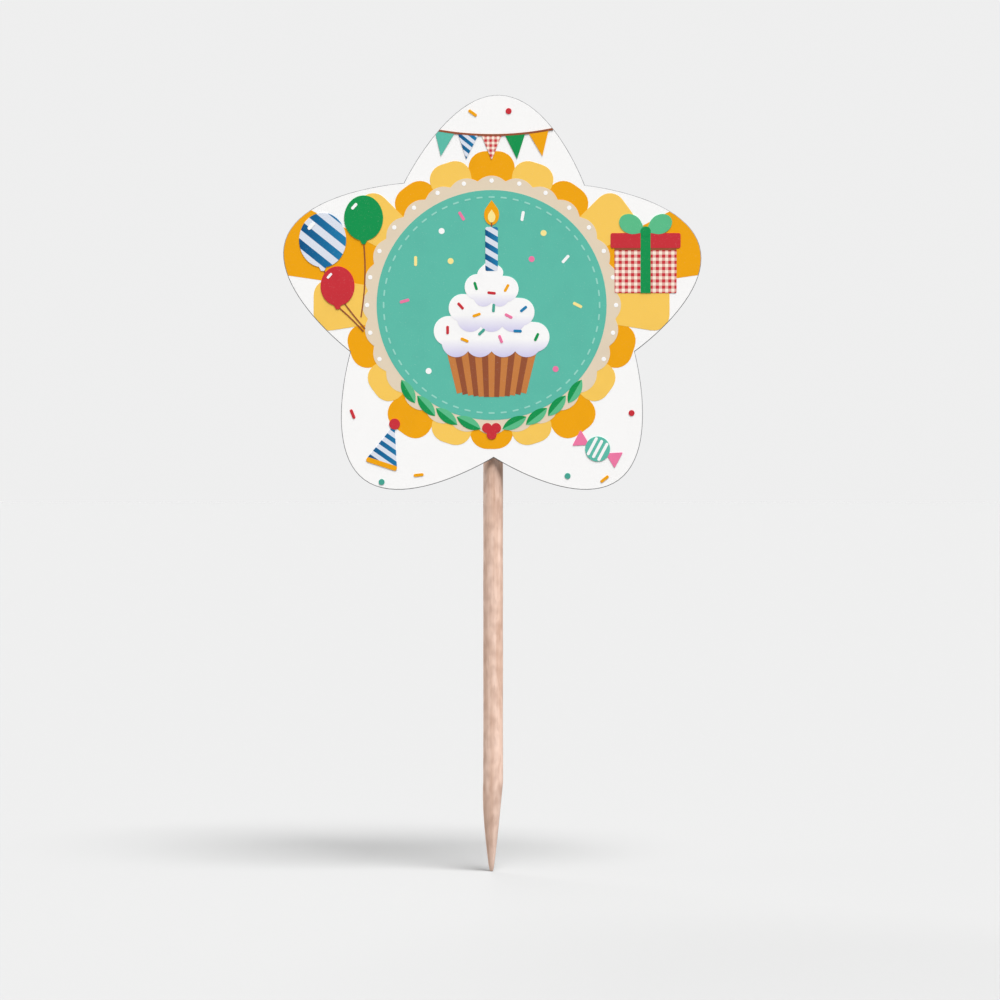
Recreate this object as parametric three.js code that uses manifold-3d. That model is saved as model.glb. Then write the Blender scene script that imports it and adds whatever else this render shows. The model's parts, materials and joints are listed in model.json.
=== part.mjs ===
// A cupcake pick: a die-cut card star, printed on its front, held on a round wooden toothpick
// by a bead of hot-melt glue on the card's back.
// Millimetres, +Z up. The origin is the toothpick's point, on its centre line.
// The pick stands upright and the printed side faces -Y.

import * as THREE from 'three';
import { mergeVertices } from 'three/addons/utils/BufferGeometryUtils.js';
import Module from 'manifold-3d';

// Toothpick. The point's swell is 1 for a straight taper, and more for a fuller one.
const stickLength = 65;
const stickDiameter = 2;
const pointLength = 9;
const pointTipDiameter = 0.4;
const pointSwell = 1.5;
const sawnEdgeChamfer = 0.15;

// Card star. A lean turns a lobe's tip or a notch clockwise from an even spacing, seen from the
// front. Further is how much more than the notches' radius a notch lies from the centre.
const cardThickness = 0.4;
const notchRadius = 15.1;
const lobeReach = 21.65;
const topLobeReach = 21.05;
const lobeRoundness = 5.25;
const lobes = [
  { name: 'top', reach: topLobeReach, lean: 2.2 },
  { name: 'upper right', reach: lobeReach, lean: 2 },
  { name: 'lower right', reach: lobeReach, lean: 0 },
  { name: 'lower left', reach: lobeReach, lean: 0 },
  { name: 'upper left', reach: lobeReach, lean: -0.5 },
];
const notches = [
  { name: 'upper right', further: 0.1, lean: 1.8 },
  { name: 'right', further: -0.05, lean: 0 },
  { name: 'lower', further: 0.15, lean: -0.8 },
  { name: 'left', further: -0.2, lean: -0.3 },
  { name: 'upper left', further: -0.05, lean: 0.3 },
];

// How the star sits on the toothpick: the stretch of stick behind it, and its place sideways.
const stickOverlap = 23.45;
const cardSideways = -0.15;

// Glue bead: its width on the card, its thickness over the stick, how far its lower end lies
// behind the star's lower notch, and the clear space round the stick
const glueWidth = 7.6;
const glueCover = 0.6;
const glueSetBack = 5.4;
const glueClearance = 0.3;

// Fineness of the curves
const stickSides = 32;
const pointSteps = 10;
const lobeSteps = 24;
const glueSides = 40;
const glueCapSteps = 10;

// What follows from the sizes above. Notches follow their lobes clockwise, and the toothpick
// passes the lower one.
const stickRadius = stickDiameter / 2;
const cardBack = -stickRadius;
const lobeSpacing = 360 / lobes.length;
const notchPlaces = notches.map((notch, number) => (
  onCard((number + 0.5) * lobeSpacing + notch.lean, notchRadius + notch.further)
));
const lowerNotch = notchPlaces[notches.findIndex((notch) => notch.name === 'lower')];
const notchHeight = stickLength - stickOverlap;
const starCentreHeight = notchHeight - lowerNotch.y;

const wasm = await Module();
wasm.setup();

// A closed geometry with shared corners merged and collapsed triangles left out
function welded(geometry) {
  const bare = geometry.clone();
  bare.deleteAttribute('normal');
  bare.deleteAttribute('uv');
  const merged = mergeVertices(bare);
  const index = merged.getIndex().array;
  const kept = [];
  for (let i = 0; i < index.length; i += 3) {
    const [a, b, c] = [index[i], index[i + 1], index[i + 2]];
    if (a !== b && b !== c && c !== a) kept.push(a, b, c);
  }
  merged.setIndex(kept);
  return merged;
}

function toSolid(geometry) {
  const closed = welded(geometry);
  return new wasm.Manifold(new wasm.Mesh({
    numProp: 3,
    vertProperties: new Float32Array(closed.getAttribute('position').array),
    triVerts: new Uint32Array(closed.getIndex().array),
  }));
}

function toGeometry(solid) {
  const mesh = solid.getMesh();
  const geometry = new THREE.BufferGeometry();
  geometry.setAttribute('position', new THREE.BufferAttribute(mesh.vertProperties, 3));
  geometry.setIndex(new THREE.BufferAttribute(mesh.triVerts, 1));
  geometry.computeVertexNormals();
  return geometry;
}

// A turned solid along Z from a profile of [radius, height] pairs. Its radii are measured to the
// flats, and one flat faces -Y, so that the stick lies flat on the card.
function turned(profile) {
  const cornerFactor = 1 / Math.cos(Math.PI / stickSides);
  const points = profile.map(([radius, height]) => new THREE.Vector2(radius * cornerFactor, height));
  const geometry = new THREE.LatheGeometry(points, stickSides, Math.PI / stickSides);
  geometry.rotateX(Math.PI / 2);
  return welded(geometry);
}

// The point widens from its blunt tip and runs smoothly into the stick, and the hidden end is
// sawn square.
function toothpick() {
  const tipRadius = pointTipDiameter / 2;
  const profile = [[0, 0]];
  for (let step = 0; step <= pointSteps; step += 1) {
    const share = step / pointSteps;
    const widening = 1 - (1 - share) ** pointSwell;
    profile.push([tipRadius + (stickRadius - tipRadius) * widening, pointLength * share]);
  }
  profile.push([stickRadius, stickLength - sawnEdgeChamfer]);
  profile.push([stickRadius - sawnEdgeChamfer, stickLength]);
  profile.push([0, stickLength]);
  return turned(profile);
}

// A place on the card by its angle, clockwise from straight up, and its distance from the centre
function onCard(degrees, distance) {
  const angle = THREE.MathUtils.degToRad(degrees);
  return new THREE.Vector2(distance * Math.sin(angle), distance * Math.cos(angle));
}

// Five rounded lobes that meet in sharp notches. Each half lobe is one curve: it leaves the
// notch straight and arrives level at the lobe's tip.
function starOutline() {
  const outline = new THREE.Shape();
  const start = notchPlaces.at(-1);
  outline.moveTo(start.x, start.y);
  lobes.forEach((lobe, number) => {
    const before = notchPlaces.at(number - 1);
    const after = notchPlaces[number];
    const direction = number * lobeSpacing + lobe.lean;
    const tip = onCard(direction, lobe.reach);
    const across = onCard(direction + 90, lobeRoundness);
    const rising = tip.clone().sub(across);
    const falling = tip.clone().add(across);
    outline.bezierCurveTo(before.x, before.y, rising.x, rising.y, tip.x, tip.y);
    outline.bezierCurveTo(falling.x, falling.y, after.x, after.y, after.x, after.y);
  });
  return outline;
}

function starCard() {
  const settings = { depth: cardThickness, bevelEnabled: false, curveSegments: lobeSteps };
  return new THREE.ExtrudeGeometry(starOutline(), settings);
}

// The bead is a round-ended mound, lower than a half circle, that set flat against the card's
// back. It keeps its full height up to the stick's sawn end and closes over it, and the stick
// leaves it through its lower end.
function glueBead() {
  const halfWidth = glueWidth / 2;
  const height = stickDiameter + glueClearance + glueCover;
  const sectionRadius = (height ** 2 + halfWidth ** 2) / (2 * height);
  const straightBottom = notchHeight + glueSetBack + halfWidth;
  const straightTop = stickLength + glueClearance;
  const straightLength = straightTop - straightBottom;
  const middleHeight = (straightTop + straightBottom) / 2;
  const mound = new THREE.CapsuleGeometry(sectionRadius, straightLength, glueCapSteps, glueSides);
  mound.rotateX(Math.PI / 2);
  mound.translate(0, cardBack + height - sectionRadius, middleHeight);

  const reach = straightLength + 3 * sectionRadius;
  const behindCard = new THREE.BoxGeometry(reach, reach, reach);
  behindCard.translate(0, cardBack + reach / 2, middleHeight);

  const channelRadius = stickRadius + glueClearance;
  const channelTop = straightTop;
  const channelBottom = straightBottom - 2 * sectionRadius;
  const channel = turned([
    [0, channelBottom],
    [channelRadius, channelBottom],
    [channelRadius, channelTop],
    [0, channelTop],
  ]);
  return toGeometry(toSolid(mound).intersect(toSolid(behindCard)).subtract(toSolid(channel)));
}

function piece(name, geometry, finish) {
  const mesh = new THREE.Mesh(geometry, new THREE.MeshStandardMaterial(finish));
  mesh.name = name;
  return mesh;
}

const woodFinish = { color: 0xe5c5b3, roughness: 0.8, metalness: 0 };
const cardFinish = { color: 0xf6f5f2, roughness: 0.55, metalness: 0 };
const glueFinish = { color: 0xefe8d8, roughness: 0.35, metalness: 0 };

const stick = piece('wooden_toothpick', toothpick(), woodFinish);

const card = piece('printed_star_card', starCard(), cardFinish);
card.rotation.x = Math.PI / 2;
card.position.set(cardSideways, cardBack, starCentreHeight);

const glue = piece('glue_bead', glueBead(), glueFinish);

const cupcakePick = new THREE.Group();
cupcakePick.add(stick, card, glue);

export default cupcakePick;
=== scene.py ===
"""The looks of a cupcake pick: a die-cut card star with a party print, glued to a wooden toothpick.

The print's motifs are drawn flat in millimetres from the star's centre, X to the right and Y up, and
each becomes a thin film of ink that is then laid on the card's front.
"""

import json
import math
from contextlib import contextmanager

import bmesh
import bpy
from mathutils import Matrix, Vector


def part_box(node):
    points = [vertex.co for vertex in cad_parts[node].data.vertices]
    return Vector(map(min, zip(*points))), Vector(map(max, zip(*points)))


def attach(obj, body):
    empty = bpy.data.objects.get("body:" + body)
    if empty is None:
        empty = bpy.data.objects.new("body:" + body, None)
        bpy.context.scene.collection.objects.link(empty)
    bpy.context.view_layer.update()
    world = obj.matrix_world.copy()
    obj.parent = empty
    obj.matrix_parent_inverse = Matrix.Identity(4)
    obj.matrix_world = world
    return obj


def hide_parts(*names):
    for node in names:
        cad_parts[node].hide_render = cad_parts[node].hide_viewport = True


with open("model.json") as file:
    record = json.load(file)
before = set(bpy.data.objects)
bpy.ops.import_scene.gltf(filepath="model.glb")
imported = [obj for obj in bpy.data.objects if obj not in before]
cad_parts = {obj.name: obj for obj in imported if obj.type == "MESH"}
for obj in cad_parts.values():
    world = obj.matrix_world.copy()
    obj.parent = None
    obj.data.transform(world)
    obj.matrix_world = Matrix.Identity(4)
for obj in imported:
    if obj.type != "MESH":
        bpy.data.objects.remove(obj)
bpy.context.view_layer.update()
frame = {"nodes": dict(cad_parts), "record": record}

MM = 0.001

# Places and sizes from the frame
CARD_LOW, CARD_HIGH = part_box("printed_star_card")
STICK_LOW, STICK_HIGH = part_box("wooden_toothpick")
GLUE_LOW, GLUE_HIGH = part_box("glue_bead")
MOUNTS = {mount["name"]: Vector(mount["pos_m"]) for mount in frame["record"]["mounts"]}
STAR_CENTRE = MOUNTS["card_front"]
CARD_BACK = CARD_HIGH.y
CARD_THICKNESS = (CARD_HIGH.y - CARD_LOW.y) / MM
STICK_LENGTH = (STICK_HIGH.z - STICK_LOW.z) / MM
STICK_RADIUS = (STICK_HIGH.y - STICK_LOW.y) / 2 / MM

# The ink: the room that it takes of the card's thickness, the step from one film to the next, and
# how deep the foot of every film lies in the paper
INK_ROOM = 0.06
FILM_STEP = 0.006
FILM_SINK = 0.004
PAPER = CARD_THICKNESS - INK_ROOM

# From the drawing in millimetres to its place on the card
ON_CARD = (
    Matrix.Translation((STAR_CENTRE.x, CARD_BACK, STAR_CENTRE.z))
    @ Matrix.Rotation(math.pi / 2, 4, "X")
    @ Matrix.Scale(MM, 4)
)
UPRIGHT = Matrix.Scale(MM, 4)

# Printing inks and other colours, in 8-bit sRGB
TONES = {
    "mustard": (242, 166, 4),
    "yellow": (250, 203, 92),
    "teal": (94, 189, 169),
    "deep_teal": (70, 165, 146),
    "sand": (229, 212, 187),
    "leaf": (12, 148, 78),
    "pale_leaf": (92, 190, 138),
    "navy": (0, 78, 130),
    "blue": (28, 126, 176),
    "snow": (252, 251, 250),
    "frost": (222, 227, 238),
    "lilac": (206, 200, 236),
    "pink": (240, 122, 165),
    "red": (204, 48, 58),
    "cream": (255, 240, 222),
    "lemon": (253, 232, 150),
    "brown": (150, 82, 52),
    "caramel": (200, 126, 66),
    "pale_teal": (150, 214, 198),
    "glue": (236, 226, 204),
    "pale_glue": (243, 236, 219),
    "glued_wood": (216, 188, 160),
    "birch": (223, 186, 164),
    "pale_birch": (243, 211, 193),
    "dark_birch": (188, 147, 125),
    "card": (253, 252, 251),
    "fibre": (222, 220, 214),
    "pale_rim": (186, 186, 188),
    # The next two tones are painted shade: the dark line along the card's front edge
    "rim_shade_dark": (112, 112, 114),
    "rim_shade_mid": (150, 150, 152),
}


# Modelling


@contextmanager
def editing(piece):
    """Opens one piece in edit mode with all of it selected."""
    bpy.ops.object.select_all(action="DESELECT")
    bpy.context.view_layer.objects.active = piece
    piece.select_set(True)
    bpy.ops.object.mode_set(mode="EDIT")
    bpy.ops.mesh.select_all(action="SELECT")
    yield piece
    bpy.ops.object.mode_set(mode="OBJECT")


def pick(kind, test):
    """In edit mode, selects the verts, edges or faces that pass a test, and nothing else."""
    modes = {"verts": "VERT", "edges": "EDGE", "faces": "FACE"}
    bpy.ops.mesh.select_mode(type=modes[kind])
    bpy.ops.mesh.select_all(action="DESELECT")
    mesh = bmesh.from_edit_mesh(bpy.context.edit_object.data)
    for item in getattr(mesh, kind):
        item.select_set(bool(test(item)))
    mesh.select_flush_mode()
    bmesh.update_edit_mesh(bpy.context.edit_object.data)


def named(name):
    """Names the piece that was just added."""
    piece = bpy.context.object
    piece.name = name
    piece.data.name = name
    return piece


def copy_of(piece, name):
    """A copy with a mesh of its own."""
    twin = bpy.data.objects.new(name, piece.data.copy())
    twin.data.name = name
    bpy.context.scene.collection.objects.link(twin)
    return twin


def put(piece, x=0.0, y=0.0, turn=0.0):
    """Turns and moves a drawn shape in its plane. The turn is anticlockwise, in degrees."""
    place = Matrix.Translation((x, y, 0)) @ Matrix.Rotation(math.radians(turn), 4, "Z")
    piece.data.transform(place)
    return piece


def stretch(piece, x, y):
    """Stretches a drawn shape in its plane."""
    piece.data.transform(Matrix.Diagonal((x, y, 1, 1)))
    return piece


def joined(name, pieces):
    """Makes one piece of several."""
    bpy.ops.object.select_all(action="DESELECT")
    for piece in pieces:
        piece.select_set(True)
    bpy.context.view_layer.objects.active = pieces[0]
    if len(pieces) > 1:
        bpy.ops.object.join()
    return named(name)


def finished_with(piece, kind, **settings):
    """Adds a modifier and applies it."""
    modifier = piece.modifiers.new(kind.title(), kind)
    for key, value in settings.items():
        setattr(modifier, key, value)
    bpy.ops.object.select_all(action="DESELECT")
    bpy.context.view_layer.objects.active = piece
    piece.select_set(True)
    bpy.ops.object.modifier_apply(modifier=modifier.name)
    return piece


def trimmed(piece, cutter, how):
    """Fuses a closed shape to a piece (UNION), or keeps only what the two share (INTERSECT)."""
    return finished_with(piece, "BOOLEAN", object=cutter, operation=how, solver="EXACT")


def cleared_away(piece):
    bpy.data.objects.remove(piece)


def extrude(move):
    """In edit mode, extrudes what is selected and moves its new end."""
    bpy.ops.mesh.extrude_region_move(TRANSFORM_OT_translate={"value": move})


def resize(x, y):
    """In edit mode, sizes what is selected in the drawing's plane."""
    bpy.ops.transform.resize(value=(x, y, 1))


def turn_by(angle, about):
    """In edit mode, turns what is selected anticlockwise in the drawing's plane."""
    bpy.ops.transform.rotate(value=-angle, orient_axis="Z", center_override=about)


def round_corners(corner):
    """In edit mode, rounds the selected corners in the drawing's plane."""
    bpy.ops.mesh.bevel(offset=corner, segments=8, affect="VERTICES")
    bpy.ops.mesh.select_all(action="SELECT")
    bpy.ops.mesh.remove_doubles(threshold=0.002)


# Flat shapes


def disc(name, radius, x=0.0, y=0.0, sides=48):
    bpy.ops.mesh.primitive_circle_add(vertices=sides, radius=radius, fill_type="NGON")
    return put(named(name), x, y)


def bar(name, width, height, corner=0.0, x=0.0, y=0.0, turn=0.0):
    """A bar with round corners. A corner of half its width makes a pill."""
    bpy.ops.mesh.primitive_plane_add(size=1)
    piece = named(name)
    with editing(piece):
        resize(width, height)
        if corner:
            round_corners(corner)
    return put(piece, x, y, turn)


def wedge(name, inner, outer, degrees, corner=0.0):
    """A slice that opens upward from a point at the origin, between two distances from it."""
    slope = math.tan(math.radians(degrees / 2))
    middle = (inner + outer) / 2
    bpy.ops.mesh.primitive_plane_add(size=1)
    piece = named(name)
    with editing(piece):
        resize(1, outer - inner)
        bpy.ops.transform.translate(value=(0, middle, 0))
        pick("verts", lambda v: v.co.y < middle)
        resize(2 * inner * slope, 1)
        pick("verts", lambda v: v.co.y > middle)
        resize(2 * outer * slope, 1)
        if corner:
            round_corners(corner)
    return piece


def drop(name, width, height):
    """A round drop with one sharp tip upward, standing on its round foot."""
    bpy.ops.mesh.primitive_plane_add(size=1)
    piece = named(name)
    almost_half = 0.495
    with editing(piece):
        pick("verts", lambda v: v.co.x < 0 or v.co.y < 0)
        bpy.ops.mesh.bevel(offset=almost_half, segments=10, affect="VERTICES")
    put(piece, turn=45)
    low = min(v.co.y for v in piece.data.vertices)
    high = max(v.co.y for v in piece.data.vertices)
    put(piece, y=-low)
    return stretch(piece, width, height / (high - low))


def scalloped(name, radius, depth, count):
    """A disc whose edge is a row of round scallops."""
    bpy.ops.mesh.primitive_circle_add(vertices=2 * count, radius=radius, fill_type="NGON")
    piece = named(name)
    valley = (radius - depth) / radius
    half_step = math.pi / count
    rounding = 0.82 * 2 * radius * math.sin(half_step / 2)
    with editing(piece):
        pick("verts", lambda v: round(math.atan2(v.co.y, v.co.x) / half_step) % 2)
        resize(valley, valley)
        pick("verts", lambda v: v.co.length > radius - depth / 2)
        bpy.ops.mesh.bevel(offset=rounding, segments=7, affect="VERTICES")
    return piece


def leaf_shape(name, length, width):
    """A leaf with two sharp tips, standing on its lower tip, in two tones that meet at its rib."""
    bpy.ops.mesh.primitive_plane_add(size=1)
    piece = named(name)
    almost_whole = 0.96
    with editing(piece):
        pick("verts", lambda v: v.co.x * v.co.y < 0)
        bpy.ops.mesh.bevel(offset=almost_whole, segments=10, affect="VERTICES")
    put(piece, turn=45)
    wide = 2 * max(v.co.x for v in piece.data.vertices)
    stretch(piece, width / wide, length / math.sqrt(2))
    with editing(piece):
        bpy.ops.mesh.bisect(plane_co=(0, 0, 0), plane_no=(1, 0, 0))
    for face in piece.data.polygons:
        face.material_index = int(face.center.x > 0)
    return put(piece, 0, length / 2)


def ribbon(name, x, y, heading, length, turn, width, steps):
    """A line of even width from a place, in a heading, that turns evenly so many degrees in all."""
    bpy.ops.mesh.primitive_plane_add(size=1)
    piece = named(name)
    place = Vector((x, y, 0))
    angle = math.radians(heading)
    bend = math.radians(turn) / steps
    with editing(piece):
        pick("verts", lambda v: v.co.x > 0)
        bpy.ops.mesh.delete(type="VERT")
        pick("verts", lambda v: True)
        resize(1, width)
        bpy.ops.transform.translate(value=(x + 0.5, y, 0))
        turn_by(angle, place)
        for _ in range(steps):
            angle += bend / 2
            stride = Vector((math.cos(angle), math.sin(angle), 0)) * length / steps
            extrude(stride)
            place += stride
            turn_by(bend, place)
            angle += bend / 2
    return piece


# Materials


def shade(tone):
    """A named 8-bit sRGB colour as a linear one."""
    def linear(channel):
        share = channel / 255
        return share / 12.92 if share <= 0.04045 else ((share + 0.055) / 1.055) ** 2.4

    return (*map(linear, TONES[tone]), 1.0)


def node(tree, kind, settings=None, **inputs):
    """Adds a node. Its inputs take values or other nodes' outputs."""
    made = tree.nodes.new(kind)
    for key, value in (settings or {}).items():
        setattr(made, key, value)
    for key, value in inputs.items():
        feed(tree, made.inputs[key.replace("_", " ")], value)
    return made


def feed(tree, socket, value):
    if isinstance(value, bpy.types.NodeSocket):
        tree.links.new(value, socket)
    else:
        socket.default_value = value


def sums(tree, operation, first, second=0.0, third=0.0):
    """One Math node, by its result."""
    made = node(tree, "ShaderNodeMath", {"operation": operation})
    for socket, value in zip(made.inputs, (first, second, third)):
        feed(tree, socket, value)
    return made.outputs[0]


def mixed(tree, share, first, second, how="MIX"):
    """One colour mix, by its result."""
    made = node(tree, "ShaderNodeMix", {"data_type": "RGBA", "blend_type": how})
    feed(tree, made.inputs[0], share)
    feed(tree, made.inputs[6], first)
    feed(tree, made.inputs[7], second)
    return made.outputs[2]


def spread(tree, value, low, high, to_low=0.0, to_high=1.0):
    """Maps a value from one range to another, with its ends held."""
    made = node(tree, "ShaderNodeMapRange")
    for socket, number in zip(made.inputs, (value, low, high, to_low, to_high)):
        feed(tree, socket, number)
    return made.outputs[0]


def here(tree, scale=(1, 1, 1)):
    """The place on the piece, in object coordinates, stretched by a scale."""
    place = node(tree, "ShaderNodeTexCoord").outputs["Object"]
    return node(tree, "ShaderNodeMapping", Vector=place, Scale=scale).outputs[0]


def noise(tree, place, scale, detail=2.0, roughness=0.5):
    made = node(tree, "ShaderNodeTexNoise", Vector=place, Scale=scale, Detail=detail)
    made.inputs["Roughness"].default_value = roughness
    return made.outputs[0]


def new_group(name, inputs, outputs):
    """An empty node group and its two ends."""
    tree = bpy.data.node_groups.new(name, "ShaderNodeTree")
    kinds = {"colour": "NodeSocketColor", "value": "NodeSocketFloat"}
    for label, kind in inputs.items():
        tree.interface.new_socket(label, in_out="INPUT", socket_type=kinds[kind])
    for label, kind in outputs.items():
        tree.interface.new_socket(label, in_out="OUTPUT", socket_type=kinds[kind])
    return tree, node(tree, "NodeGroupInput"), node(tree, "NodeGroupOutput")


def use(tree, group, **inputs):
    """Places a node group in a material, with its own values."""
    return node(tree, "ShaderNodeGroup", {"node_tree": group}, **inputs)


def ink_lay_group():
    """How ink lies on coated card: faint mottle, pinholes of thin ink and the card's tooth."""
    tree, start, end = new_group(
        "ink_lay",
        {"Ink": "colour", "Mottle": "value"},
        {"Color": "colour", "Roughness": "value", "Height": "value"},
    )
    place = here(tree)
    cloud = noise(tree, place, 380, 2)
    tooth = noise(tree, place, 9000, 3, 0.6)
    patch = spread(tree, cloud, 0.3, 0.7, -1.0, 1.0)
    change = sums(tree, "MULTIPLY", patch, start.outputs["Mottle"])
    darker = mixed(tree, 1.0, start.outputs["Ink"], (0.9, 0.9, 0.92, 1), "MULTIPLY")
    laid = mixed(tree, sums(tree, "MAXIMUM", change, 0.0), start.outputs["Ink"], darker)
    thin = spread(tree, tooth, 0.62, 0.8, 0.0, 0.16)
    feed(tree, end.inputs["Color"], mixed(tree, thin, laid, (0.94, 0.93, 0.91, 1)))
    feed(tree, end.inputs["Roughness"], spread(tree, tooth, 0.25, 0.75, 0.34, 0.5))
    feed(tree, end.inputs["Height"], tooth)
    return tree


def gingham_group():
    """Woven checks: two crossing bands of thread over a pale cloth."""
    tree, start, end = new_group(
        "gingham",
        {"Cloth": "colour", "Thread": "colour", "Check": "value"},
        {"Color": "colour"},
    )
    place = node(tree, "ShaderNodeSeparateXYZ", Vector=here(tree))
    bands = []
    for axis in ("X", "Z"):
        count = sums(tree, "DIVIDE", place.outputs[axis], start.outputs["Check"])
        ripple = sums(tree, "PINGPONG", count, 0.5)
        bands.append(spread(tree, ripple, 0.235, 0.265))
    weave = sums(tree, "MULTIPLY", sums(tree, "ADD", *bands), 0.5)
    crossed = sums(tree, "MULTIPLY", *bands)
    cloth, thread = start.outputs["Cloth"], start.outputs["Thread"]
    woven = mixed(tree, sums(tree, "MULTIPLY", weave, 1.1), cloth, thread)
    feed(tree, end.inputs["Color"], mixed(tree, crossed, woven, thread))
    return tree


def stripes_group():
    """Slanting stripes of two inks. The first ink fades from one side of the piece to the other."""
    tree, start, end = new_group(
        "slant_stripes",
        {"First": "colour", "Faded": "colour", "Second": "colour",
         "Pitch": "value", "Slope": "value", "Middle": "value", "Reach": "value"},
        {"Color": "colour"},
    )
    place = node(tree, "ShaderNodeSeparateXYZ", Vector=here(tree))
    right, height = place.outputs["X"], place.outputs["Z"]
    aslant = sums(tree, "MULTIPLY_ADD", right, start.outputs["Slope"], height)
    count = sums(tree, "DIVIDE", aslant, start.outputs["Pitch"])
    stripe = spread(tree, sums(tree, "PINGPONG", count, 0.5), 0.24, 0.26)
    aside = sums(tree, "SUBTRACT", right, start.outputs["Middle"])
    across = sums(tree, "DIVIDE", aside, start.outputs["Reach"])
    fade = spread(tree, across, -1.0, 1.0)
    ink = mixed(tree, fade, start.outputs["First"], start.outputs["Faded"])
    feed(tree, end.inputs["Color"], mixed(tree, stripe, ink, start.outputs["Second"]))
    return tree


def fade_group():
    """Two inks that run into each other from a lower height to a higher one."""
    tree, start, end = new_group(
        "upward_fade",
        {"Below": "colour", "Above": "colour", "Low": "value", "High": "value"},
        {"Color": "colour"},
    )
    height = node(tree, "ShaderNodeSeparateXYZ", Vector=here(tree)).outputs["Z"]
    share = spread(tree, height, start.outputs["Low"], start.outputs["High"])
    colour = mixed(tree, share, start.outputs["Below"], start.outputs["Above"])
    feed(tree, end.inputs["Color"], colour)
    return tree


def paper_group():
    """Card stock: cloudy fibre, a few flecks and a fine tooth."""
    tree, start, end = new_group(
        "card_stock",
        {"Stock": "colour", "Fleck": "colour", "Flecks": "value"},
        {"Color": "colour", "Height": "value"},
    )
    place = here(tree)
    cloud = noise(tree, place, 420, 4, 0.6)
    fibre = noise(tree, here(tree, (3000, 3000, 900)), 1.0, 3, 0.65)
    tooth = noise(tree, place, 7000, 3, 0.6)
    stock, fleck = start.outputs["Stock"], start.outputs["Fleck"]
    clouded = mixed(tree, spread(tree, cloud, 0.35, 0.7, 0.0, 0.2), stock, fleck)
    speck = sums(tree, "MULTIPLY", spread(tree, fibre, 0.62, 0.72), start.outputs["Flecks"])
    feed(tree, end.inputs["Color"], mixed(tree, speck, clouded, fleck))
    feed(tree, end.inputs["Height"], sums(tree, "MULTIPLY_ADD", fibre, 0.6, tooth))
    return tree


GROUPS = {
    "ink": ink_lay_group(),
    "gingham": gingham_group(),
    "stripes": stripes_group(),
    "fade": fade_group(),
    "paper": paper_group(),
}


def new_material(name):
    made = bpy.data.materials.new(name)
    made.use_nodes = True
    return made, made.node_tree, made.node_tree.nodes["Principled BSDF"]


def bumped(tree, shader, height, depth):
    """Feeds a height to a shader as a bump of that depth in metres."""
    bump = node(tree, "ShaderNodeBump", Height=height, Distance=depth, Strength=1.0)
    feed(tree, shader.inputs["Normal"], bump.outputs[0])


# How strongly the inks are mottled
MOTTLE = 0.3


def ink(name, pattern=None, **values):
    """A printing ink: the plain tone of that name, or a pattern group with its values."""
    made, tree, shader = new_material("ink_" + name)
    lay = use(tree, GROUPS["ink"], Mottle=MOTTLE)
    if pattern:
        feed(tree, lay.inputs["Ink"], use(tree, GROUPS[pattern], **values).outputs["Color"])
    else:
        lay.inputs["Ink"].default_value = shade(name)
    feed(tree, shader.inputs["Base Color"], lay.outputs["Color"])
    feed(tree, shader.inputs["Roughness"], lay.outputs["Roughness"])
    bumped(tree, shader, lay.outputs["Height"], 0.000004)
    shader.inputs["Specular IOR Level"].default_value = 0.22
    return made


INKS = {}


def inked(tone):
    """The ink of a plain tone, made once."""
    if tone not in INKS:
        INKS[tone] = ink(tone)
    return INKS[tone]


# Camera and studio

# The photograph's frame is 100 mm wide at the card, and its middle is this far from the origin.
VIEW_WIDTH = 100 * MM
VIEW_MIDDLE = (0.69 * MM, 37.3 * MM)
LENS = 100
SENSOR = 36

# What the floor and the far background send to the camera, what the floor sends to the pick,
# and how the room lights the pick. The floor lights it weakly, so that the card's shade shows
# on the stick.
BACKDROP = 0.86
FLOOR_BOUNCE = 0.4
ROOM_LIGHT = 0.22

# The lamps: the direction that each stands in, what it adds to a white sheet that faces it, and
# its softness in degrees
LAMPS = {
    "key": ((0.5, -0.66, 2.1), 2.16, 30),
    "fill": ((-1.0, -0.1, 0.1), 0.44, 40),
    "back": ((-0.4, 0.9, 0.6), 0.65, 45),
}

# The floor's radius in metres, so large that its edge isn't seen
FLOOR_RADIUS = 60


def add_camera():
    data = bpy.data.cameras.new("camera")
    data.lens = LENS
    data.sensor_width = SENSOR
    data.clip_start = 0.01
    camera = bpy.data.objects.new("camera", data)
    bpy.context.scene.collection.objects.link(camera)
    distance = VIEW_WIDTH * LENS / SENSOR
    camera.location = (VIEW_MIDDLE[0], CARD_LOW.y - distance, VIEW_MIDDLE[1])
    camera.rotation_euler = (math.pi / 2, 0, 0)
    bpy.context.scene.camera = camera


def add_lamp(name, toward, strength, softness):
    """Adds a far, soft lamp, and gives what it adds to a white floor."""
    data = bpy.data.lights.new(name, "SUN")
    data.energy = strength * math.pi
    data.angle = math.radians(softness)
    lamp = bpy.data.objects.new(name, data)
    lamp.rotation_euler = Vector(toward).to_track_quat("Z", "Y").to_euler()
    bpy.context.scene.collection.objects.link(lamp)
    return strength * Vector(toward).normalized().z


def looked_at(tree):
    """1 for what the camera itself sees, and 0 for the light that is sent on to other surfaces."""
    return node(tree, "ShaderNodeLightPath").outputs["Is Camera Ray"]


def pale_room():
    """A white room that looks brighter to the camera than it lights the pick."""
    world = bpy.data.worlds.new("studio")
    world.use_nodes = True
    tree = world.node_tree
    room = tree.nodes["Background"]
    room.inputs["Color"].default_value = (1, 1, 1, 1)
    strength = spread(tree, looked_at(tree), 0.0, 1.0, ROOM_LIGHT, BACKDROP)
    feed(tree, room.inputs["Strength"], strength)
    return world


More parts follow.
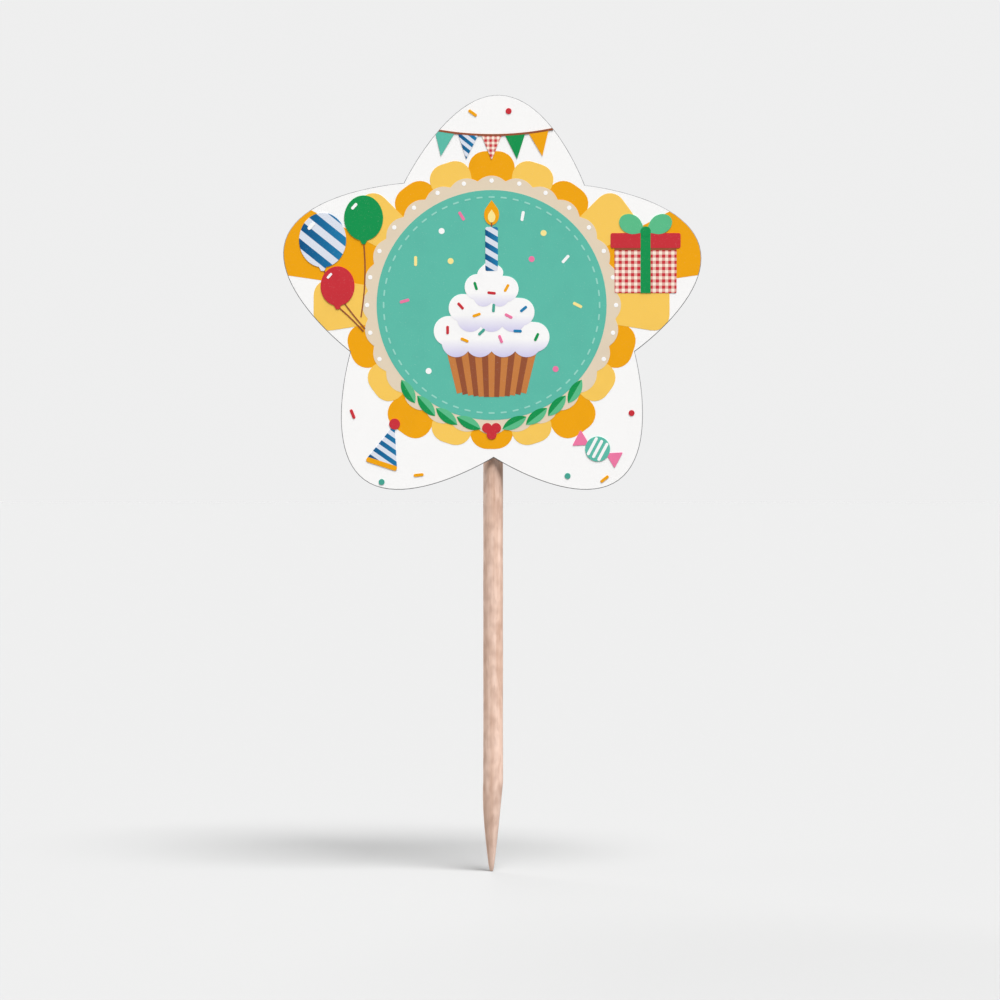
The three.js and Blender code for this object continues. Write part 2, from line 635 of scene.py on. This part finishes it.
def floor_paper(light):
    """Matt paper for a floor in so much light, duller to the pick than it looks to the camera."""
    made, tree, shader = new_material("floor_paper")
    dull = FLOOR_BOUNCE / light
    seen = BACKDROP / light
    tone = mixed(tree, looked_at(tree), (dull, dull, dull, 1), (seen, seen, seen, 1))
    feed(tree, shader.inputs["Base Color"], tone)
    shader.inputs["Roughness"].default_value = 1.0
    shader.inputs["Specular IOR Level"].default_value = 0.0
    return made


def add_studio():
    """Soft lamps, a pale room and a floor just as bright as the room looks, so no horizon shows."""
    scene = bpy.context.scene
    scene.view_settings.view_transform = "Standard"
    on_floor = ROOM_LIGHT
    for name, (toward, strength, softness) in LAMPS.items():
        on_floor += add_lamp(name, toward, strength, softness)
    scene.world = pale_room()
    bpy.ops.mesh.primitive_circle_add(vertices=64, radius=FLOOR_RADIUS, fill_type="NGON")
    floor = named("floor")
    floor.data.materials.append(floor_paper(on_floor))


# The card


def card_stock():
    """The coated white front of the card."""
    made, tree, shader = new_material("coated_white")
    paper = use(tree, GROUPS["paper"], Stock=shade("card"), Fleck=(0.93, 0.93, 0.92, 1), Flecks=0.1)
    feed(tree, shader.inputs["Base Color"], paper.outputs["Color"])
    feed(tree, shader.inputs["Roughness"], spread(tree, paper.outputs["Height"], 0.5, 1.1, 0.36, 0.5))
    bumped(tree, shader, paper.outputs["Height"], 0.000003)
    shader.inputs["Coat Weight"].default_value = 0.1
    shader.inputs["Coat Roughness"].default_value = 0.35
    return made


def card_back():
    """The plain uncoated back, with fibres and a coarser tooth."""
    made, tree, shader = new_material("plain_back")
    stock, fleck = (0.84, 0.83, 0.8, 1), (0.66, 0.63, 0.57, 1)
    paper = use(tree, GROUPS["paper"], Stock=stock, Fleck=fleck, Flecks=0.5)
    feed(tree, shader.inputs["Base Color"], paper.outputs["Color"])
    feed(tree, shader.inputs["Roughness"], spread(tree, paper.outputs["Height"], 0.5, 1.1, 0.75, 0.92))
    bumped(tree, shader, paper.outputs["Height"], 0.00001)
    return made


def card_cut(name, dark, pale, tufts):
    """A die-cut edge: pressed layers of fibre, greyer than the faces, with pale tufts. In dark tones,
    painted shade.
    """
    made, tree, shader = new_material(name)
    layers = noise(tree, here(tree, (900, 16000, 900)), 1.0, 3, 0.6)
    tuft = noise(tree, here(tree), 5200, 3, 0.6)
    colour = mixed(tree, spread(tree, layers, 0.35, 0.65), shade(dark), shade(pale))
    colour = mixed(tree, spread(tree, tuft, 0.5, 0.75, 0.0, tufts), colour, shade("card"))
    feed(tree, shader.inputs["Base Color"], colour)
    feed(tree, shader.inputs["Roughness"], spread(tree, tuft, 0.2, 0.8, 0.8, 0.95))
    bumped(tree, shader, sums(tree, "ADD", layers, tuft), 0.00002)
    return made


# How far in from its edges the die pressed the card round. On the front this band is painted darker,
# as shade.
RIM = 0.1

# The card's materials by number: coated front, plain back, cut edge and the front's rounded rim,
# painted darker as shade
FRONT, BACK, CUT, SHADED_RIM = range(4)


def side_of_card(facing):
    """The material of a face, by how far it faces the front: 1 is right at it, -1 away from it."""
    if abs(facing) > 0.99:
        return FRONT if facing > 0 else BACK
    return SHADED_RIM if facing > 0.1 else CUT


def make_card():
    """The card star, from its CAD outline, with die-softened rims and painted shade on the front's
    rim.
    """
    card = copy_of(frame["nodes"]["printed_star_card"], "star_card")
    card.data.transform(ON_CARD.inverted())
    card.data.materials.clear()
    # The front's rim is painted dark grey, a painted shade line along the card's edge
    rim = card_cut("pressed_rim", "rim_shade_dark", "rim_shade_mid", 0.1)
    cut = card_cut("cut_edge", "pale_rim", "fibre", 0.5)
    for material in (card_stock(), card_back(), cut, rim):
        card.data.materials.append(material)
    half = CARD_THICKNESS / 2
    with editing(card):
        bpy.ops.mesh.remove_doubles(threshold=0.001)
        pick("faces", lambda f: abs(f.normal.z) > 0.9)
        bpy.ops.mesh.dissolve_faces()
        pick("faces", lambda f: abs(f.normal.z) < 0.1)
        bpy.ops.mesh.tris_convert_to_quads()
        pick("verts", lambda v: v.co.z > half)
        bpy.ops.transform.translate(value=(0, 0, -INK_ROOM))
        pick("edges", lambda e: abs(e.verts[0].co.z - e.verts[1].co.z) < half / 2)
        bpy.ops.mesh.bevel(offset=RIM, segments=3, affect="EDGES", clamp_overlap=True)
        mesh = bmesh.from_edit_mesh(card.data)
        for face in mesh.faces:
            face.material_index = side_of_card(face.normal.z)
        bmesh.update_edit_mesh(card.data)
    return card


def star_cutter(card):
    """A closed block with the outline of the card's flat front, which trims the ink at its edge."""
    half = 1.0
    cutter = copy_of(card, "star_cutter")
    cutter.data.materials.clear()
    with editing(cutter):
        pick("faces", lambda f: f.normal.z < 0.99)
        bpy.ops.mesh.delete(type="FACE")
        bpy.ops.mesh.select_all(action="SELECT")
        bpy.ops.transform.translate(value=(0, 0, -PAPER - half))
    return finished_with(cutter, "SOLIDIFY", thickness=2 * half, offset=1.0)


# The toothpick

TIP_RADIUS = 0.2
POINT_LENGTH = 9.0
POINT_SWELL = 1.5
SAWN_EDGE = 0.12

# The point was ground a little off centre, so its tip stands this far to the left.
TIP_LEAN = 0.17

# The blunt tip's rounding: heights, and radii as shares of the tip's
TIP_RINGS = ((0.0, 0.5), (0.06, 0.85))

# How far the shaft's radius swells and shrinks, as a share of it, in a short wave that a long one
# shifts. The waves are in radians for each millimetre.
UNEVENNESS = 0.008
SHORT_WAVE = 0.7
LONG_WAVE = 0.23

STICK_SIDES = 40
POINT_STEPS = 16
SHAFT_STEPS = 30


def birch_group():
    """Birch along the stick: long soft streaks, dark clouds, short fine flecks and pale pores."""
    tree, start, end = new_group(
        "birch_grain",
        {"Wood": "colour", "Pale": "colour", "Dark": "colour"},
        {"Color": "colour", "Height": "value"},
    )
    streaks = noise(tree, here(tree, (1500, 1500, 70)), 1.0, 4, 0.6)
    flecks = noise(tree, here(tree, (3200, 3200, 760)), 1.0, 2, 0.5)
    pores = noise(tree, here(tree, (6000, 6000, 900)), 1.0, 2, 0.5)
    cloud = noise(tree, here(tree, (1050, 1050, 700)), 1.0, 1, 0.5)
    wood = mixed(tree, spread(tree, streaks, 0.38, 0.6), start.outputs["Wood"], start.outputs["Pale"])
    wood = mixed(tree, spread(tree, cloud, 0.4, 0.72, 0.0, 0.55), wood, start.outputs["Dark"])
    wood = mixed(tree, spread(tree, flecks, 0.54, 0.74, 0.0, 0.4), wood, start.outputs["Dark"])
    wood = mixed(tree, spread(tree, pores, 0.6, 0.75, 0.0, 0.35), wood, start.outputs["Pale"])
    feed(tree, end.inputs["Color"], wood)
    feed(tree, end.inputs["Height"], sums(tree, "MULTIPLY_ADD", flecks, 0.5, streaks))
    return tree


def birch():
    """Bare, matt birch."""
    made, tree, shader = new_material("bare_birch")
    grain = use(tree, birch_group(), Wood=shade("birch"), Pale=shade("pale_birch"),
                Dark=shade("dark_birch"))
    feed(tree, shader.inputs["Base Color"], grain.outputs["Color"])
    feed(tree, shader.inputs["Roughness"], spread(tree, grain.outputs["Height"], 0.5, 1.0, 0.88, 0.72))
    bumped(tree, shader, grain.outputs["Height"], 0.00003)
    shader.inputs["Specular IOR Level"].default_value = 0.3
    shader.inputs["Sheen Weight"].default_value = 0.08
    return made


def birch_end():
    """The sawn end: pale end grain with fine rings."""
    made, tree, shader = new_material("sawn_end")
    place = here(tree)
    rings = node(tree, "ShaderNodeTexWave", {"wave_type": "RINGS", "rings_direction": "Z"},
                 Vector=place, Scale=900, Distortion=3.0, Detail=2.0).outputs["Color"]
    pits = noise(tree, place, 9000, 3, 0.6)
    paleness = spread(tree, rings, 0.2, 0.9, 0.0, 0.6)
    wood = mixed(tree, paleness, shade("dark_birch"), shade("pale_birch"))
    feed(tree, shader.inputs["Base Color"], wood)
    feed(tree, shader.inputs["Roughness"], spread(tree, pits, 0.2, 0.8, 0.8, 0.95))
    bumped(tree, shader, pits, 0.00003)
    return made


def stick_rings():
    """Heights and radii of the toothpick: a tumbled point that widens into an uneven shaft."""
    rings = [(height, share * TIP_RADIUS) for height, share in TIP_RINGS]
    for step in range(1, POINT_STEPS + 1):
        share = step / POINT_STEPS
        widening = 1 - (1 - share) ** POINT_SWELL
        rings.append((POINT_LENGTH * share, TIP_RADIUS + (STICK_RADIUS - TIP_RADIUS) * widening))
    shaft = STICK_LENGTH - SAWN_EDGE - POINT_LENGTH
    for step in range(1, SHAFT_STEPS + 1):
        height = POINT_LENGTH + shaft * step / SHAFT_STEPS
        wave = math.sin(SHORT_WAVE * height + math.sin(LONG_WAVE * height))
        rings.append((height, STICK_RADIUS * (1 - UNEVENNESS + UNEVENNESS * wave)))
    rings.append((STICK_LENGTH, STICK_RADIUS - SAWN_EDGE))
    return rings


def make_toothpick():
    """Drawn upright in millimetres, ring by ring, with its tip a little aside."""
    tip, *rings = stick_rings()
    height, radius = tip
    aside = -TIP_LEAN
    bpy.ops.mesh.primitive_circle_add(
        vertices=STICK_SIDES, radius=radius, fill_type="NGON", location=(aside, 0, 0)
    )
    stick = named("toothpick")
    stick.data.transform(stick.matrix_world)
    stick.location = (0, 0, 0)
    with editing(stick):
        for next_height, next_radius in rings:
            share = min(1.0, next_height / POINT_LENGTH)
            next_aside = -TIP_LEAN * (1 - share ** 4)
            growth = next_radius / radius
            extrude((next_aside - aside, 0, next_height - height))
            resize(growth, growth)
            height, radius, aside = next_height, next_radius, next_aside
        bpy.ops.mesh.select_all(action="SELECT")
        bpy.ops.mesh.normals_make_consistent(inside=False)
    stick.data.materials.append(birch())
    stick.data.materials.append(birch_end())
    for face in stick.data.polygons:
        if face.normal.z > 0.9:
            face.material_index = 1
    stick.data.transform(UPRIGHT)
    bpy.ops.object.shade_smooth_by_angle(angle=math.radians(35))
    return stick


# The glue


def hot_melt():
    """Milky glue with faint ripples and tiny bubbles, and the stick showing through it faintly."""
    made, tree, shader = new_material("set_glue")
    place = here(tree)
    cloud = noise(tree, place, 500, 3)
    ripple = noise(tree, place, 900, 2)
    bubbles = noise(tree, place, 6000, 1)
    apart = node(tree, "ShaderNodeSeparateXYZ", Vector=place)
    across = sums(tree, "ABSOLUTE", apart.outputs["X"])
    height = apart.outputs["Z"]
    stick_side = STICK_RADIUS * MM
    over_stick = spread(tree, across, 0.5 * stick_side, 1.5 * stick_side, 0.6, 0.0)
    below_end = spread(tree, height, STICK_HIGH.z - stick_side, STICK_HIGH.z + stick_side, 1.0, 0.0)
    milk = mixed(tree, spread(tree, cloud, 0.3, 0.7), shade("glue"), shade("pale_glue"))
    seen = mixed(tree, sums(tree, "MULTIPLY", over_stick, below_end), milk, shade("glued_wood"))
    feed(tree, shader.inputs["Base Color"], seen)
    feed(tree, shader.inputs["Roughness"], spread(tree, bubbles, 0.55, 0.8, 0.18, 0.32))
    bumped(tree, shader, sums(tree, "MULTIPLY_ADD", bubbles, 0.03, ripple), 0.00012)
    shader.inputs["Subsurface Weight"].default_value = 0.4
    shader.inputs["Subsurface Radius"].default_value = (1.0, 0.8, 0.55)
    shader.inputs["Subsurface Scale"].default_value = 0.0008
    shader.inputs["IOR"].default_value = 1.48
    shader.inputs["Coat Weight"].default_value = 0.3
    shader.inputs["Coat Roughness"].default_value = 0.15
    return made


# How round the ends of the mound's foot are: 1 is a half circle.
GLUE_ROUNDNESS = 0.96

# Shares of the mound's height, with its outline there as shares of its foot's width and length.
# It ends in a ridge that has no width.
GLUE_STEPS = (
    (0.05, 0.985, 0.995), (0.2, 0.93, 0.975), (0.42, 0.84, 0.94), (0.64, 0.69, 0.88),
    (0.82, 0.51, 0.79), (0.95, 0.29, 0.66), (1.0, 0.0, 0.5),
)

# The lumps' size, and how far they push the glue in each direction and from which middle value
LUMP_SIZE = 3.4
LUMP_PUSHES = (("X", 0.6, 0.5), ("Y", 0.8, 0.5), ("Z", 0.3, 0.0))


def make_glue():
    """A mound that spreads from a thin foot on the card's back over the stick and its end."""
    width = (GLUE_HIGH.x - GLUE_LOW.x) / MM
    length = (GLUE_HIGH.z - GLUE_LOW.z) / MM
    height = (GLUE_HIGH.y - GLUE_LOW.y) / MM
    middle = ((GLUE_HIGH + GLUE_LOW) / 2 - STAR_CENTRE) / MM
    glue = bar("glue", width, length, corner=GLUE_ROUNDNESS * width / 2)
    with editing(glue):
        level, wide, long = 0.0, 1.0, 1.0
        for next_level, next_wide, next_long in GLUE_STEPS:
            extrude((0, 0, (level - next_level) * height))
            resize(next_wide / wide, next_long / long)
            level, wide, long = next_level, next_wide, next_long
        bpy.ops.mesh.delete(type="ONLY_FACE")
        bpy.ops.mesh.select_all(action="SELECT")
        bpy.ops.mesh.remove_doubles(threshold=0.002)
        bpy.ops.mesh.normals_make_consistent(inside=False)
    put(glue, middle.x, middle.z)
    finished_with(glue, "SUBSURF", levels=2, render_levels=2)
    lumps = bpy.data.textures.new("glue_lumps", "CLOUDS")
    lumps.noise_scale = LUMP_SIZE
    lumps.noise_depth = 0
    for direction, strength, middle_value in LUMP_PUSHES:
        finished_with(glue, "DISPLACE", texture=lumps, direction=direction, strength=strength,
                      mid_level=middle_value, texture_coords="LOCAL")
    peak = max(-v.co.z for v in glue.data.vertices)
    glue.data.transform(Matrix.Diagonal((1, 1, height / peak, 1)))
    glue.data.materials.append(hot_melt())
    glue.data.transform(ON_CARD)
    bpy.ops.object.shade_smooth_by_angle(angle=math.radians(50))
    return glue


# The print

# Each film's level: a higher one lies over a lower one.
RAY, SHORT_RAY, DOILY, MEDALLION, SHAPE, SHADE, COVER, DETAIL, MARK, GLINT = range(1, 11)


def along(u):
    """A drawn distance to the right as its place in the frame."""
    return STAR_CENTRE.x + u * MM


def above(v):
    """A drawn height as its place in the frame."""
    return STAR_CENTRE.z + v * MM


def film(name, level, inks, shapes, fuse=False, bleed=False):
    """Makes one film of ink of flat shapes. Fused shapes may overlap, and a bleed is cut off at the
    card's edge.
    """
    materials = [inked(tone) if isinstance(tone, str) else tone for tone in inks]
    for shape in shapes:
        for material in materials:
            shape.data.materials.append(material)
    if not fuse:
        shapes = [joined(name, shapes)]
    for shape in shapes:
        if shape.data.polygons[0].normal.z < 0:
            shape.data.flip_normals()
        finished_with(shape, "SOLIDIFY", thickness=FILM_SINK + level * FILM_STEP, offset=1.0)
    piece, *others = shapes
    for other in others:
        trimmed(piece, other, "UNION")
        cleared_away(other)
    if bleed:
        trimmed(piece, CUTTER, "INTERSECT")
    piece.name = piece.data.name = name
    piece.data.transform(Matrix.Translation((0, 0, PAPER - FILM_SINK)))
    piece.data.transform(ON_CARD)
    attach(piece, "root")
    return piece


def toned(shape, index):
    """Gives a flat shape the film's ink of that number."""
    for face in shape.data.polygons:
        face.material_index = index
    return shape


def slanted(name, middle, reach, pitch, slope=0.8):
    """Blue and white slanting stripes for a shape that reaches so far on each side of its middle."""
    return ink(name, "stripes", First=shade("navy"), Faded=shade("blue"), Second=shade("frost"),
               Pitch=pitch * MM, Slope=slope, Middle=along(middle), Reach=reach * MM)


def checked(name, check):
    """Red and cream gingham with checks of that width."""
    return ink(name, "gingham", Cloth=shade("cream"), Thread=shade("red"), Check=check * MM)


# The sunburst: how many rays, and how far from the centre they begin, under the doily
RAY_COUNT = 20
RAY_START = 9

# How far the rays reach from the centre, from the top one round to the bottom one. The one in the
# middle of a side lobe runs off the card.
RAY_REACHES = (15.4, 14.9, 14.6, 16.8, 24.0, 17.8, 14.9, 14.6, 15.6, 14.5, 14.4)

# The two kinds of ray, which take turns: tone, level, spread in degrees and corner
RAY_KINDS = (("mustard", RAY, 19.5, 2.1), ("yellow", SHORT_RAY, 18, 1.9))


def print_sunburst():
    """Mustard and yellow rays with round ends, alike on the left and the right."""
    for first, (tone, level, degrees, corner) in enumerate(RAY_KINDS):
        rays = []
        for number in range(first, RAY_COUNT, len(RAY_KINDS)):
            reach = RAY_REACHES[min(number, RAY_COUNT - number)]
            ray = wedge("ray", RAY_START, reach, degrees, corner)
            rays.append(put(ray, turn=360 / RAY_COUNT * number))
        film(f"sunburst_{tone}_rays", level, [tone], rays, bleed=True)


def around(count, radius):
    """Evenly spaced places round the centre, each with its direction in degrees."""
    for number in range(count):
        degrees = 360 * number / count
        angle = math.radians(degrees)
        yield radius * math.cos(angle), radius * math.sin(angle), degrees


# The doily: its radius, its scallops, and the ring that its eyelets and its sprigs' feet lie on.
# The eyelets stop at the height where the sprigs begin.
DOILY_RADIUS = 13.35
SCALLOPS = 28
SCALLOP_DEPTH = 0.9
EYELET_RING = 12.45
SPRIG_TOP = -7.5

# The medallion: its radius, its stitches and the ring that they lie on
MEDALLION_RADIUS = 11.5
STITCHES = 56
STITCH_RING = 10.8


def print_medallion():
    """A scalloped doily with eyelets, and a teal disc with a stitched edge."""
    film("doily", DOILY, ["sand"], [scalloped("doily", DOILY_RADIUS, SCALLOP_DEPTH, SCALLOPS)])
    eyelets = [disc("eyelet", 0.22, x, y, sides=16)
               for x, y, _ in around(SCALLOPS, EYELET_RING) if y > SPRIG_TOP]
    film("doily_eyelets", MEDALLION, ["card"], eyelets)
    film("medallion", MEDALLION, ["teal"], [disc("medallion", MEDALLION_RADIUS, sides=96)])
    stitches = [bar("stitch", 0.16, 0.62, 0.07, x, y, degrees)
                for x, y, degrees in around(STITCHES, STITCH_RING)]
    film("medallion_stitches", SHAPE, ["pale_teal"], stitches)


# Cupcake case: where its pleats meet when drawn on downward, how far its foot and its top are from
# there, how much higher its foot is at the sides, its pleats on each side and their step in degrees
CASE_APEX = -23.1
CASE_FOOT = 13.9
CASE_TOP = 18.9
FOOT_RISE = 0.4
PLEATS = 6
PLEAT_STEP = 2.1

# Frosting tiers: width, height, middle, dollops
TIERS = {"low": (11.6, 3.0, -2.9, 4), "middle": (8.6, 2.8, -0.5, 3), "top": (5.4, 2.6, 1.7, 2)}

# The dollops' radius as a share of their spacing, and how far below the tier's middle they lie
DOLLOP_SHARE = 0.62
DOLLOP_DROP = 0.86

# Places of the sprinkles, tier by tier
SPRINKLES = (
    (-4.4, -2.5), (-2.7, -3.5), (-1.0, -2.7), (0.9, -3.4), (2.6, -2.6), (4.5, -3.2),
    (-3.1, -0.1), (-1.5, -1.0), (0.2, -0.3), (1.7, -1.1), (3.2, -0.4),
    (-1.6, 1.9), (0.0, 1.2), (1.5, 1.7),
)


def print_cupcake():
    """A pleated case and three tiers of frosting with sprinkles."""
    pleats, folds = [], []
    for number in range(-PLEATS, PLEATS + 1):
        turn = PLEAT_STEP * number
        foot = (CASE_FOOT + FOOT_RISE * (number / PLEATS) ** 2) / math.cos(math.radians(turn))
        pleats.append(put(wedge("pleat", foot, CASE_TOP, 2.2), 0, CASE_APEX, turn))
        if number % 2:
            folds.append(put(wedge("fold", foot, CASE_TOP, 2.0), 0, CASE_APEX, turn))
    film("cupcake_case", SHAPE, ["caramel"], pleats, fuse=True)
    film("case_folds", SHADE, ["brown"], folds)
    for order, (name, (width, height, v, dollops)) in enumerate(TIERS.items()):
        pitch = (width - 2.2) / dollops
        shapes = [bar("tier", width, height, height / 2 - 0.01, 0, v, -4)]
        for number in range(dollops):
            u = (number - (dollops - 1) / 2) * pitch
            shapes.append(disc("dollop", pitch * DOLLOP_SHARE, u, v - DOLLOP_DROP))
        if name == "top":
            shapes.append(put(drop("peak", 2.6, 2.3), 0, v + 0.5, 8))
        cream = ink("frosting_" + name, "fade", Below=shade("lilac"), Above=shade("snow"),
                    Low=above(v - 2.4), High=above(v - 0.5))
        film("frosting_" + name, COVER + order, [cream], shapes, fuse=True)
    tones = ("red", "mustard", "deep_teal", "pink", "blue", "leaf")
    sprinkles = []
    for number, (u, v) in enumerate(SPRINKLES):
        pill = bar("sprinkle", 0.28, 0.85, 0.135, u, v, 67 * number)
        sprinkles.append(toned(pill, number % len(tones)))
    film("sprinkles", GLINT, tones, sprinkles)


def print_candle():
    """A striped candle with a flame, in the top tier of the frosting."""
    stripes = slanted("candle_stripes", 0, 0.65, 1.2, slope=0.6)
    film("candle", GLINT, [stripes], [bar("candle", 1.25, 4.4, corner=0.18, y=5.6)])
    film("candle_wick", MARK, ["brown"], [bar("wick", 0.14, 0.7, corner=0.05, y=8.05)])
    film("flame", DETAIL, ["mustard"], [put(drop("flame", 1.5, 2.5), y=8.0)])
    film("flame_heart", GLINT, ["lemon"], [put(drop("heart", 0.75, 1.3), y=8.25)])


# Balloons: level, right, up, width, and their strings' heading, length and bend
BALLOONS = {
    "striped_balloon": (COVER, -16.9, 6.5, 4.7, -62, 7.4, 14),
    "green_balloon": (DETAIL, -12.8, 8.7, 3.9, -84, 7.6, -16),
    "red_balloon": (MARK, -15.4, 1.9, 3.4, -40, 3.6, -8),
}

# How much taller than wide a balloon is
BALLOON_TALL = 1.16


def print_balloons():
    """Three balloons in the upper left lobe, each with a knot and a glint, and their strings."""
    inks = {
        "striped_balloon": slanted("balloon_stripes", -16.9, 2.4, 1.9),
        "green_balloon": "leaf",
        "red_balloon": "red",
    }
    strings, glints = [], []
    for name, (level, u, v, width, heading, length, bend) in BALLOONS.items():
        half = width / 2
        skin = put(stretch(disc("skin", half), 1, BALLOON_TALL), u, v)
        knot = put(wedge("knot", 0.3, 0.9, 55), u, v - 1.18 * half - 0.62)
        film(name, level, [inks[name]], [skin, knot], fuse=True, bleed=True)
        strings.append(ribbon("string", u, v - 1.2 * half, heading, length, bend, 0.13, 8))
        glints.append(bar("glint", 0.2 * width, 0.075 * width, 0.037 * width,
                          u - 0.24 * width, v + 0.3 * width, 48))
    film("balloon_strings", SHADE, ["brown"], strings, fuse=True)
    film("balloon_glints", GLINT, ["snow"], glints)


# The gift's middle, the heights of its foot and its lid's foot, and its own and its lid's sizes
GIFT_MIDDLE = 15.4
GIFT_FOOT = 1.2
LID_FOOT = 5.7
GIFT_WIDTH = 6.2
LID_WIDTH = 7.0
LID_HEIGHT = 1.5


def print_gift():
    """A gingham box with a red lid and a green ribbon tied in a bow, in the upper right lobe."""
    body_height = LID_FOOT - GIFT_FOOT
    body = bar("box", GIFT_WIDTH, body_height, 0.15, GIFT_MIDDLE, (LID_FOOT + GIFT_FOOT) / 2)
    film("gift_box", SHAPE, [checked("box_gingham", 0.62)], [body], bleed=True)
    under_lid = bar("shade", GIFT_WIDTH, 0.26, 0, GIFT_MIDDLE, LID_FOOT - 0.1)
    film("gift_lid_shade", SHADE, ["brown"], [under_lid])
    lid = bar("lid", LID_WIDTH, LID_HEIGHT, 0.2, GIFT_MIDDLE, LID_FOOT + LID_HEIGHT / 2)
    film("gift_lid", COVER, ["red"], [lid])
    ribbon_height = body_height + LID_HEIGHT
    strip = bar("strip", 1.0, ribbon_height, 0, GIFT_MIDDLE, GIFT_FOOT + ribbon_height / 2)
    film("gift_ribbon", DETAIL, ["leaf"], [strip], bleed=True)
    loops = []
    for side in (1, -1):
        loop = put(drop("loop", 1.9, 2.9), 0, -2.9)
        loops.append(put(loop, GIFT_MIDDLE, LID_FOOT + 1.6, 118 * side))
    film("gift_bow", DETAIL, ["pale_leaf"], loops)
    film("gift_knot", MARK, ["leaf"], [disc("knot", 0.52, GIFT_MIDDLE, LID_FOOT + 1.65, 24)])


# Bunting: the cord's lowest height, the radius of its curve and its slope in degrees where it
# starts, and the pennants' drop and spacing
CORD_LOW = 17.0
CORD_RADIUS = 31.0
CORD_SLOPE = 16
PENNANT_DROP = 2.5
PENNANT_STEP = 2.35


def print_bunting():
    """Five pennants on a cord that sags across the top lobe."""
    swing = math.radians(CORD_SLOPE)
    reach = CORD_RADIUS * math.sin(swing)
    height = CORD_LOW + CORD_RADIUS * (1 - math.cos(swing))
    length = 2 * CORD_RADIUS * swing
    cord = ribbon("cord", -reach, height, -CORD_SLOPE, length, 2 * CORD_SLOPE, 0.2, 24)
    film("bunting_cord", DETAIL, ["brown"], [cord], bleed=True)
    striped = slanted("pennant_stripes", -PENNANT_STEP, 1, 0.9)
    inks = ["teal", striped, checked("pennant_gingham", 0.5), "leaf", "mustard"]
    pennants = []
    for number in range(len(inks)):
        u = (number - 2) * PENNANT_STEP
        pennant = put(wedge("pennant", 0.05, PENNANT_DROP, 44), y=-PENNANT_DROP)
        put(pennant, u, CORD_LOW + u * u / (2 * CORD_RADIUS), math.degrees(u / CORD_RADIUS))
        pennants.append(toned(pennant, number))
    film("bunting_pennants", COVER, inks, pennants, bleed=True)


# Places of the three berries
BERRIES = ((-0.45, -12.3), (0.45, -12.3), (0, -12.95))


def print_leaves():
    """Two sprigs that meet at the foot of the doily, with berries where they meet."""
    leaves = []
    for side in (1, -1):
        for number in range(4):
            leaf = put(leaf_shape("leaf", 2.7, 1.15), turn=-side * 68)
            put(leaf, y=-EYELET_RING)
            leaves.append(put(leaf, turn=side * (5 + 11 * number)))
    film("leaf_sprigs", SHAPE, ["leaf", "pale_leaf"], leaves)
    berries = [disc("berry", 0.5, u, v, sides=24) for u, v in BERRIES]
    film("berries", COVER, ["red"], berries, fuse=True)


# The party hat's tip and turn, and the sweet's middle and turn
HAT_PLACE = (-9.7, -11.9, 162)
CANDY_PLACE = (10.6, -14.4, -28)


def print_party_hat():
    """A striped paper hat with a pompom, in the lower left lobe."""
    stripes = slanted("hat_stripes", -10.6, 1.9, 1.1, slope=0.7)
    u, v, _ = HAT_PLACE
    film("party_hat", SHAPE, [stripes], [put(wedge("hat", 0.1, 4.4, 42, corner=0.2), *HAT_PLACE)])
    film("hat_band", SHADE, ["mustard"], [put(bar("band", 3.2, 0.5, 0.2, 0, 4.2), *HAT_PLACE)])
    film("hat_pompom", COVER, ["red"], [disc("pompom", 0.55, u, v, sides=24)])


def print_candy():
    """A wrapped sweet in the lower right lobe."""
    wings = []
    for turn in (90, -90):
        wing = put(wedge("wing", 0.25, 1.5, 62, corner=0.15), y=0.9)
        wings.append(put(put(wing, turn=turn), *CANDY_PLACE))
    film("candy_wrapper", SHAPE, ["pink"], wings)
    film("candy", SHADE, ["teal"], [put(disc("sweet", 1.25), *CANDY_PLACE)])
    stripes = [put(bar("stripe", 0.3, 2.0, 0.14, x=aside), *CANDY_PLACE) for aside in (-0.6, 0, 0.6)]
    film("candy_stripes", COVER, ["snow"], stripes)


# Confetti: right, up and the number of its ink
CONFETTI = (
    (-7.6, 4.4, 0), (-5.0, 7.4, 1), (-8.7, 0.4, 2), (-6.3, -6.6, 1), (-3.0, 8.9, 2), (-4.1, 4.4, 0),
    (7.4, 4.6, 1), (5.2, 7.2, 0), (8.6, 0.0, 0), (6.4, -6.4, 2), (3.1, 8.9, 1), (4.0, 4.6, 2),
    (-7.3, -17.0, 3), (-11.0, -17.7, 4), (-13.9, -10.9, 5), (7.6, -17.1, 4), (11.3, -17.4, 3),
    (14.0, -10.8, 5), (-1.9, 19.2, 3), (1.7, 19.4, 5),
)


def print_confetti():
    """Dots and dashes, scattered over the medallion and the lobes."""
    tones = ("lemon", "snow", "pink", "mustard", "deep_teal", "red")
    bits = []
    for number, (u, v, tone) in enumerate(CONFETTI):
        if number % 2:
            bit = disc("dot", 0.3, u, v, 20)
        else:
            bit = bar("dash", 0.3, 1.0, 0.14, u, v, 53 * number)
        bits.append(toned(bit, tone))
    film("confetti", SHAPE, tones, bits, bleed=True)


add_camera()
add_studio()
card = make_card()
CUTTER = star_cutter(card)
card.data.transform(ON_CARD)
toothpick = make_toothpick()
glue = make_glue()
for piece, node_name, slot in ((card, "printed_star_card", "coated_card"),
                               (toothpick, "wooden_toothpick", "birch_wood"),
                               (glue, "glue_bead", "hot_melt_glue")):
    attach(piece, "root")
    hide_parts(node_name)

print_sunburst()
print_medallion()
print_leaves()
print_cupcake()
print_candle()
print_bunting()
print_balloons()
print_gift()
print_party_hat()
print_candy()
print_confetti()
cleared_away(CUTTER)
